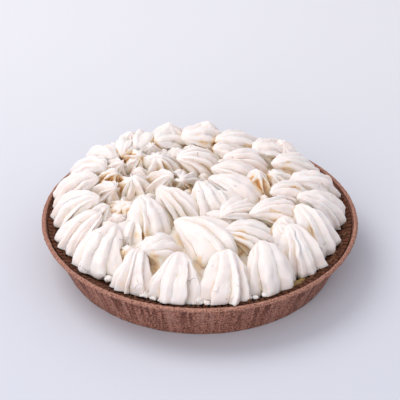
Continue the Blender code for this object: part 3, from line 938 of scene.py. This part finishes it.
lengths = np.linalg.norm(points[ends[:, 0]] - points[ends[:, 1]], axis=1)
spacing = mean_at_points(lengths, lengths)
crease_shade = np.einsum("ij,ij->i", mean_place(points) - points, facing) / np.maximum(spacing, 0.05 * MM)
for _ in range(2):
    crease_shade = 0.5 * crease_shade + 0.5 * mean_of_neighbours(crease_shade)
crease_shade = smooth_step(0.02, 0.20, crease_shade)

# The hollows: how far a point lies inside the meringue's form when that is smoothed out
smoothed = points.copy()
for _ in range(24):
    smoothed = 0.5 * smoothed + 0.5 * mean_place(smoothed)
hollow = smooth_step(0.03 * MM, 0.35 * MM, np.einsum("ij,ij->i", smoothed - points, facing))
valley_shade = smooth_step(0.30, 0.62, shelter) * (0.25 + 0.75 * inside_ring)
# Toasted places seen from above: the place in mm, the reach in mm and how brown
toasted = [
    (-84, -26, 5, 0.7), (-44, -45, 5, 0.8), (-13, -45, 4, 0.5), (-57, -66, 4, 0.5), (-34, -79, 4, 0.6),
    (-1, -80, 4, 0.6), (31, -60, 6, 0.6), (31, -80, 4, 0.5), (59, -24, 6, 0.6), (53, -42, 6, 0.6),
    (83, -40, 5, 0.5), (71, -16, 5, 0.6), (75, 11, 5, 0.7), (38, -7, 6, 0.5), (43, 3, 5, 0.5),
    (47, 18, 8, 0.9), (-6, 14, 5, 0.8), (-61, 88, 5, 0.9), (-71, 61, 5, 0.9), (-61, 60, 6, 1.0),
    (-51, 58, 5, 0.8), (-67, 27, 9, 0.9), (-77, 27, 5, 0.9), (-89, 53, 5, 0.6), (1, 86, 5, 0.6),
    (15, 86, 6, 0.8), (9, 75, 6, 0.9), (42, 84, 6, 0.6), (-59, -4, 11, 0.8), (70, 45, 6, 0.7),
    (56, 38, 7, 0.7), (51, 26, 6, 0.9), (-38, 82, 6, 0.8), (-44, 26, 5, 0.5), (-30, 44, 5, 0.5),
]
toast = 0.3 * smooth_step(0.55, 0.80, shelter) * inside_ring
for x, y, reach, strength in toasted:
    away = np.hypot(points[:, 0] - x * MM, points[:, 1] - y * MM)
    toast = np.maximum(toast, strength * (1 - smooth_step(0.5 * reach * MM, 1.5 * reach * MM, away))
                       * np.clip(0.12 + 0.65 * smooth_step(0.18, 0.40, shelter) + 0.75 * hollow, 0, 1))
# The valley and crease masks carry painted shade: the closed-in places and the creases are tinted cream
for name, values in (("valley_shade", valley_shade), ("toast", toast), ("crease_shade", crease_shade)):
    layer = meringue.data.attributes.new(name, "FLOAT", "POINT")
    layer.data.foreach_set("value", values.astype(np.float32))
meringue.data.shade_smooth()
meringue.data.set_sharp_from_angle(angle=math.radians(50))


def cracks_group():
    """Short fine cracks of dried meringue: 1 on a crack. Most of the net of cracks is left out."""
    group, given, put_out = new_effect("cracks", {}, ("Cracks",))
    jitter = cloud_noise(group, given["Place"], 520.0, 2.0)["Color"]
    moved = vector_node(group, "MULTIPLY_ADD", jitter, (0.0028,) * 3, given["Place"])[0]
    net = node(group, "ShaderNodeTexVoronoi", {"Vector": moved, "Scale": 62.0}, feature="DISTANCE_TO_EDGE")
    thin = between(group, net.outputs[0], 0.018, 0.006)
    some = between(group, cloud_noise(group, given["Place"], 85.0, 1.0)[0], 0.65, 0.69)
    group.links.new(times(group, thin, some), put_out["Cracks"])
    return group


cracks = cracks_group()
white_tones = ((0.865, 0.785, 0.75), (0.86, 0.80, 0.77))
shade_cream_tones = ((0.865, 0.765, 0.645), (0.86, 0.795, 0.665))
light_toast = (0.82, 0.66, 0.47)
dark_toast = (0.64, 0.35, 0.14)
crack_tone = (0.30, 0.25, 0.23)


def mask_of(tree, name):
    """A mask kept with the mesh's points."""
    return node(tree, "ShaderNodeAttribute", attribute_name=name).outputs["Fac"]


def baked_meringue():
    material, tree, shader = material_named("baked_meringue")
    place = place_of(tree)
    cracked = node(tree, "ShaderNodeGroup", {"Place": place}, node_tree=cracks).outputs[0]
    cloud = cloud_noise(tree, place, 160.0, 5.0)[0]
    broad = cloud_noise(tree, place, 38.0, 3.0)[0]
    grain = cloud_noise(tree, place, 900.0, 3.0)[0]
    colour = mix(tree, between(tree, broad, 0.40, 0.60), *white_tones)
    # Painted shade: a cream tint in the closed-in valleys and in the creases
    cream_shade = times(tree, mask_of(tree, "valley_shade"), between(tree, cloud, 0.3, 0.7, 0.4, 1.0))
    cream_shade = math_node(tree, "MAXIMUM", cream_shade, times(tree, mask_of(tree, "crease_shade"), 0.75))
    shade_cream_tone = mix(tree, between(tree, broad, 0.42, 0.58), *shade_cream_tones)
    colour = mix(tree, cream_shade, colour, shade_cream_tone)
    browned = between(tree, cloud, 0.25, 0.65, 0.5, 1.25)
    tan = math_node(tree, "MULTIPLY", mask_of(tree, "toast"), browned, clamp=True)
    colour = mix(tree, between(tree, tan, 0.05, 0.40), colour, light_toast)
    colour = mix(tree, between(tree, tan, 0.40, 0.90), colour, dark_toast)
    colour = mix(tree, times(tree, cracked, 0.65), colour, crack_tone)
    roughness = between(tree, cloud, 0.3, 0.7, 0.50, 0.70)
    relief = math_node(tree, "MULTIPLY_ADD", grain, 0.35, cloud)
    relief = math_node(tree, "SUBTRACT", relief, times(tree, cracked, 1.5))
    set_surface(tree, shader, colour, roughness, relief, 0.25, 0.4 * MM, 0.3)
    lit_through(shader, 0.7, 3.2 * MM, (1.0, 0.82, 0.68))
    return material


meringue.data.materials.clear()
meringue.data.materials.append(baked_meringue())
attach(meringue, "root")
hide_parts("meringue")

# The table, the light and the camera
# A flat plain table, painted paler further back as painted light. Soft light from a window behind it on
# the left, softer light from the front left and an even pale light from all round. The camera looks from
# the height and angle of the picture, with its lens given in the picture's own pixels.
camera_back = 1151.0 * MM
camera_up = 805.15 * MM
camera_pitch = math.radians(33.238)
camera_roll = math.radians(0.54)
focal_in_pixels = 1746.98
picture_width = 400
sensor_width = 36.0

camera_data = bpy.data.cameras.new("camera")
camera_data.sensor_width = sensor_width
camera_data.lens = sensor_width * focal_in_pixels / picture_width
camera = bpy.data.objects.new("camera", camera_data)
bpy.context.scene.collection.objects.link(camera)
ahead = Vector((0, math.cos(camera_pitch), -math.sin(camera_pitch)))
level = Vector((1, 0, 0))
upright = level.cross(ahead)
right = level * math.cos(camera_roll) + upright * math.sin(camera_roll)
top = upright * math.cos(camera_roll) - level * math.sin(camera_roll)
camera.matrix_world = Matrix((
    (right.x, top.x, -ahead.x, 0),
    (right.y, top.y, -ahead.y, -camera_back),
    (right.z, top.z, -ahead.z, camera_up),
    (0, 0, 0, 1),
))
bpy.context.scene.camera = camera

table_reach = 3.0
shaded_near_tone = (0.64, 0.65, 0.71)
lit_far_tone = (0.74, 0.735, 0.765)
table_mesh = bpy.data.meshes.new("table")
soup = bmesh.new()
bmesh.ops.create_grid(soup, x_segments=8, y_segments=8, size=table_reach)
soup.to_mesh(table_mesh)
soup.free()
table = bpy.data.objects.new("table", table_mesh)
bpy.context.scene.collection.objects.link(table)
table.location = (0, 0, -0.2 * MM)
cover, cover_tree, cover_shader = material_named("table_cover")
table_parts = node(cover_tree, "ShaderNodeSeparateXYZ", {0: place_of(cover_tree)})
# Painted light: the table's colour grows paler further back
far = between(cover_tree, table_parts.outputs[1], -0.15, 0.45)
cover_tree.links.new(mix(cover_tree, far, shaded_near_tone, lit_far_tone), cover_shader.inputs["Base Color"])
cover_shader.inputs["Roughness"].default_value = 0.9
cover_shader.inputs["Specular IOR Level"].default_value = 0.1
table_mesh.materials.append(cover)


def soft_light(name, place, power, colour):
    """A round soft light, 1.3 m wide, that faces the dish."""
    data = bpy.data.lights.new(name, "AREA")
    data.shape = "DISK"
    data.size = 1.3
    data.energy = power
    data.color = colour
    lamp = bpy.data.objects.new(name, data)
    bpy.context.scene.collection.objects.link(lamp)
    lamp.location = place
    lamp.rotation_euler = (Vector((0, 0, 0)) - Vector(place)).to_track_quat("-Z", "Y").to_euler()


soft_light("window", (-0.9, 0.45, 1.55), 15.0, (1.0, 0.985, 0.97))
soft_light("front", (-0.75, -1.65, 0.85), 12.0, (1.0, 0.975, 0.96))
sky = bpy.data.worlds.new("room")
bpy.context.scene.world = sky
sky.use_nodes = True
room_light = sky.node_tree.nodes["Background"]
room_light.inputs["Color"].default_value = (0.885, 0.89, 0.955, 1)
room_light.inputs["Strength"].default_value = 0.80
bpy.context.scene.view_settings.view_transform = "Standard"
